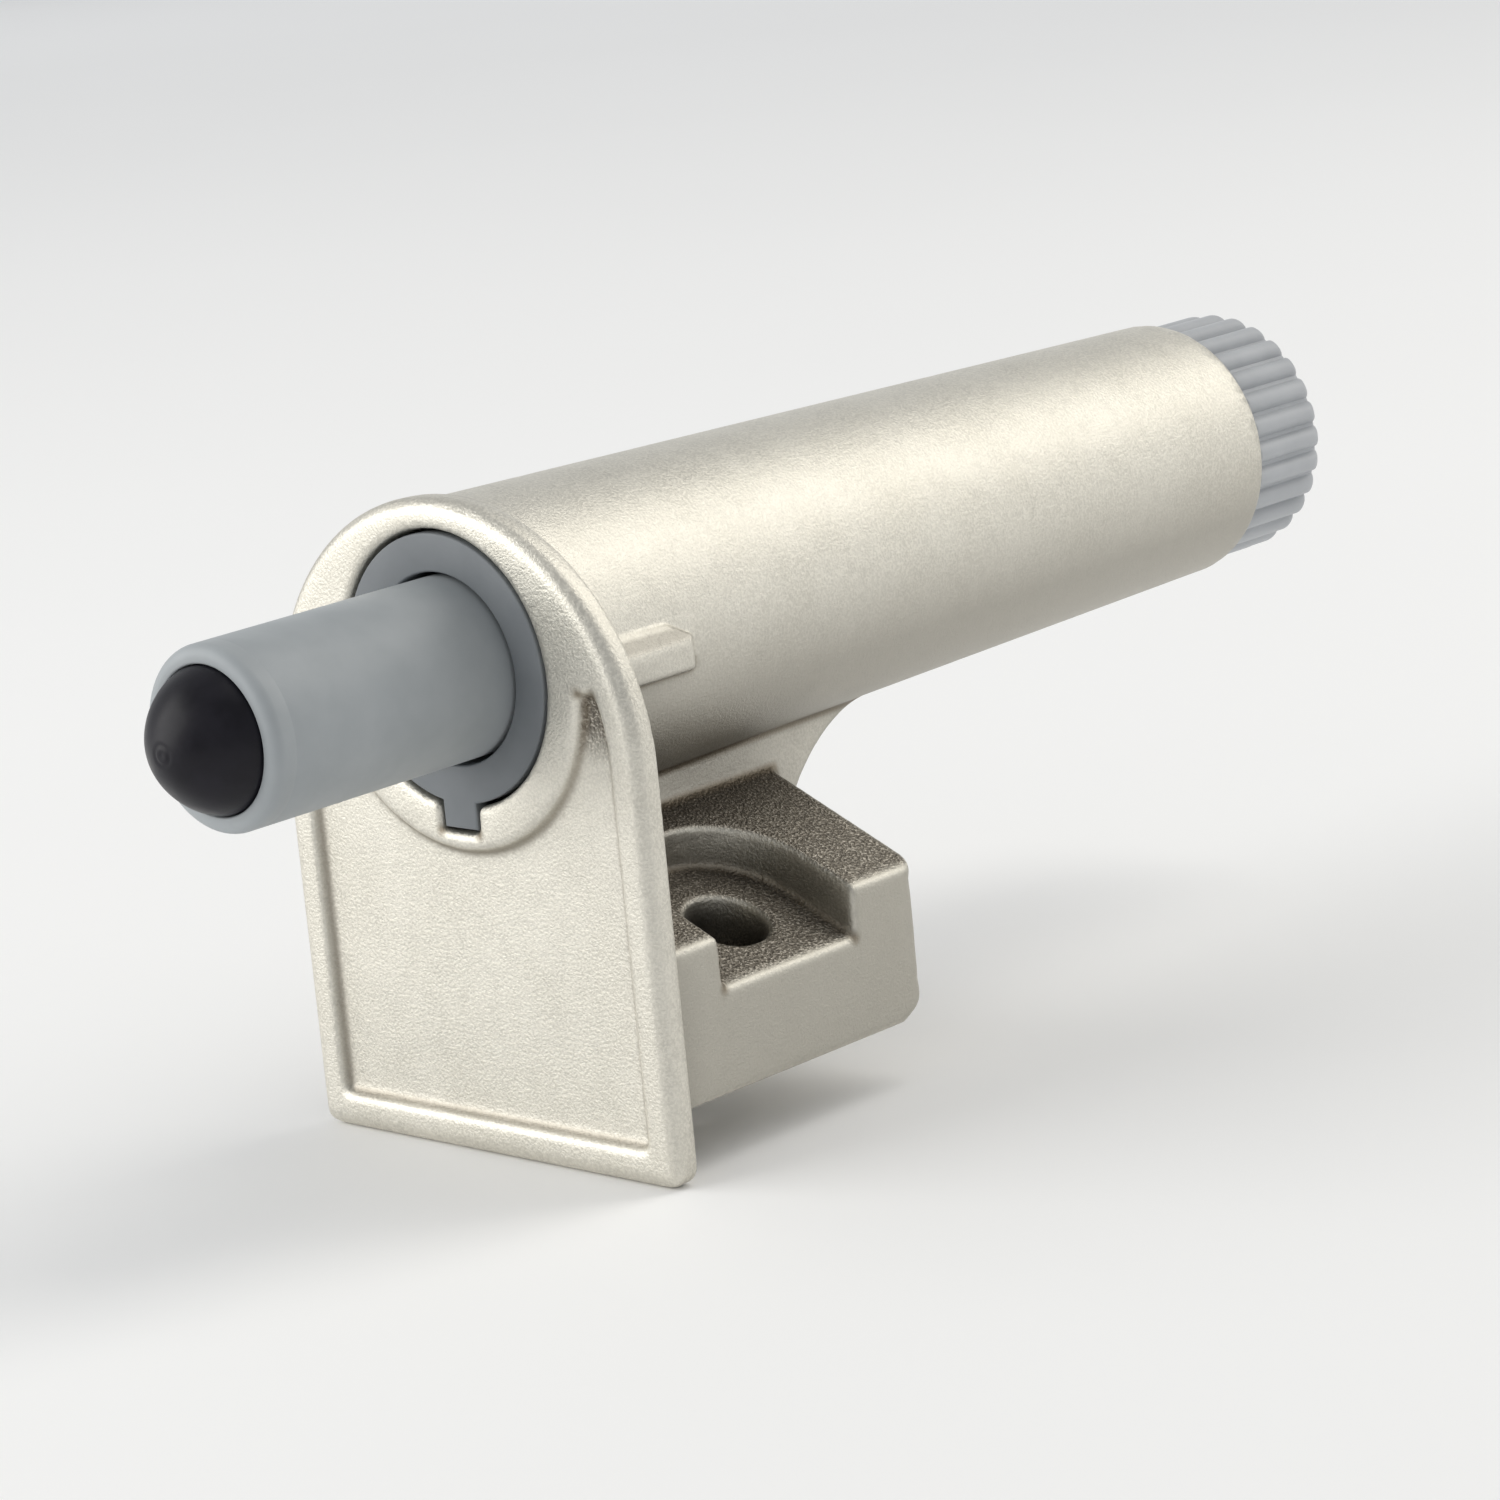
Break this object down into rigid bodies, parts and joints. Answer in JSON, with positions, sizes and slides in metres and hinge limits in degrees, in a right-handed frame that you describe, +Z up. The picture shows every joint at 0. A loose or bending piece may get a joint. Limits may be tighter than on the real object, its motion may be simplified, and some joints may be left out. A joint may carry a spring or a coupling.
{
  "type": "cabinet door damper",
  "caption": "Die-cast screw-on damper for a cabinet door: sprung oil plunger with rubber bumper in a tapered barrel, arched front plate, tilted screw holes and a serrated adjuster knob at the rear.",
  "frame": {"origin": "on the base's flat seat face, midway between the two screw holes", "axes": "+Y along the barrel from the plunger to the knob, +Z up from the seat face to the barrel, the plate's front faces -Y"},
  "size_m": [0.022, 0.0705, 0.0291],
  "materials": {
    "nickel_casting": "satin nickel plate on a zinc die-casting",
    "grey_plastic": "matte blue-grey moulded plastic",
    "knob_plastic": "matte grey moulded plastic",
    "black_rubber": "smooth black rubber",
    "natural_plastic": "natural moulded plastic",
    "spring_steel": "bright drawn steel"
  },
  "bodies": {
    "casing": {"housing": "nickel_casting", "guide_sleeve": "grey_plastic", "knob_snap_ring": "spring_steel"},
    "adjuster": {"adjuster_knob": "knob_plastic", "knob_o_ring": "black_rubber"},
    "piston_carrier": {"rod_seat": "natural_plastic", "piston_rod": "spring_steel", "piston": "natural_plastic", "piston_ring": "black_rubber", "valve_disc": "spring_steel"},
    "plunger": {"plunger_cylinder": "grey_plastic", "bumper": "black_rubber", "return_spring": "spring_steel", "foam_washer": "natural_plastic", "compensator_foam": "black_rubber", "rod_seal": "black_rubber", "guide_cap": "natural_plastic"}
  },
  "joints": [
    {"name": "knob_turn", "type": "hinge", "parent": "casing", "child": "adjuster", "pos_m": [0, 0.0405, 0.01885], "axis": [0, 1, 0], "range_deg": [-360, 360]},
    {"name": "seat_travel", "type": "slide", "parent": "casing", "child": "piston_carrier", "axis": [0, 1, 0], "range_m": [-0.0015, 0.0015]},
    {"name": "plunger_stroke", "type": "slide", "parent": "piston_carrier", "child": "plunger", "axis": [0, 1, 0], "range_m": [0, 0.012], "stiffness_N_per_m": 250, "springref_m": -0.004, "deforming": ["return_spring"]}
  ],
  "couplings": [
    {"joint": "knob_turn", "follows": "seat_travel", "rad_per_m": 4188.7}
  ]
}
